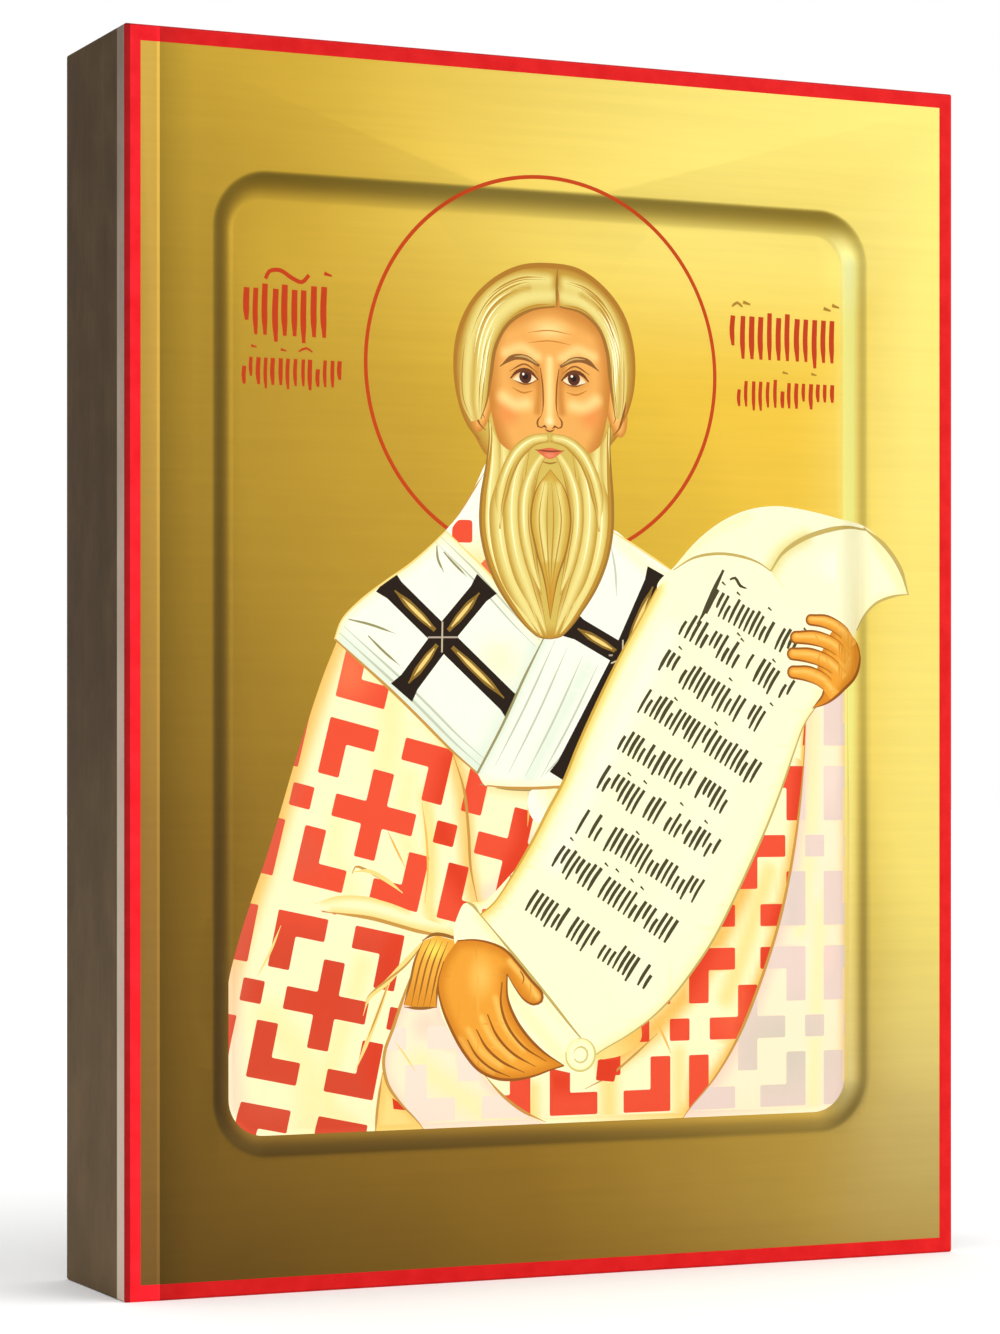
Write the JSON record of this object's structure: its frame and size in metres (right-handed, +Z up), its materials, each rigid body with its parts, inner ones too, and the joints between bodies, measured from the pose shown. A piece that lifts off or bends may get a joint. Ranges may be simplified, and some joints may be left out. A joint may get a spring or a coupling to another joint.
{
  "type": "icon panel",
  "caption": "Thick upright wooden icon board with a gesso facing, a sunk round-cornered field and a painted half-length figure on gold.",
  "frame": {"origin": "centre of the underside on which the panel stands", "axes": "+Z up along the height, +X to the right as seen from the picture side, +Y from the picture to the back"},
  "size_m": [0.15, 0.03, 0.2],
  "materials": {
    "board": "dark brown stain, close grained, satin",
    "facing": "gesso ground under gold leaf and egg tempera, bright red border, satin varnish, pale bare edge"
  },
  "bodies": {
    "root": {"board": "board", "facing": "facing"}
  },
  "joints": []
}
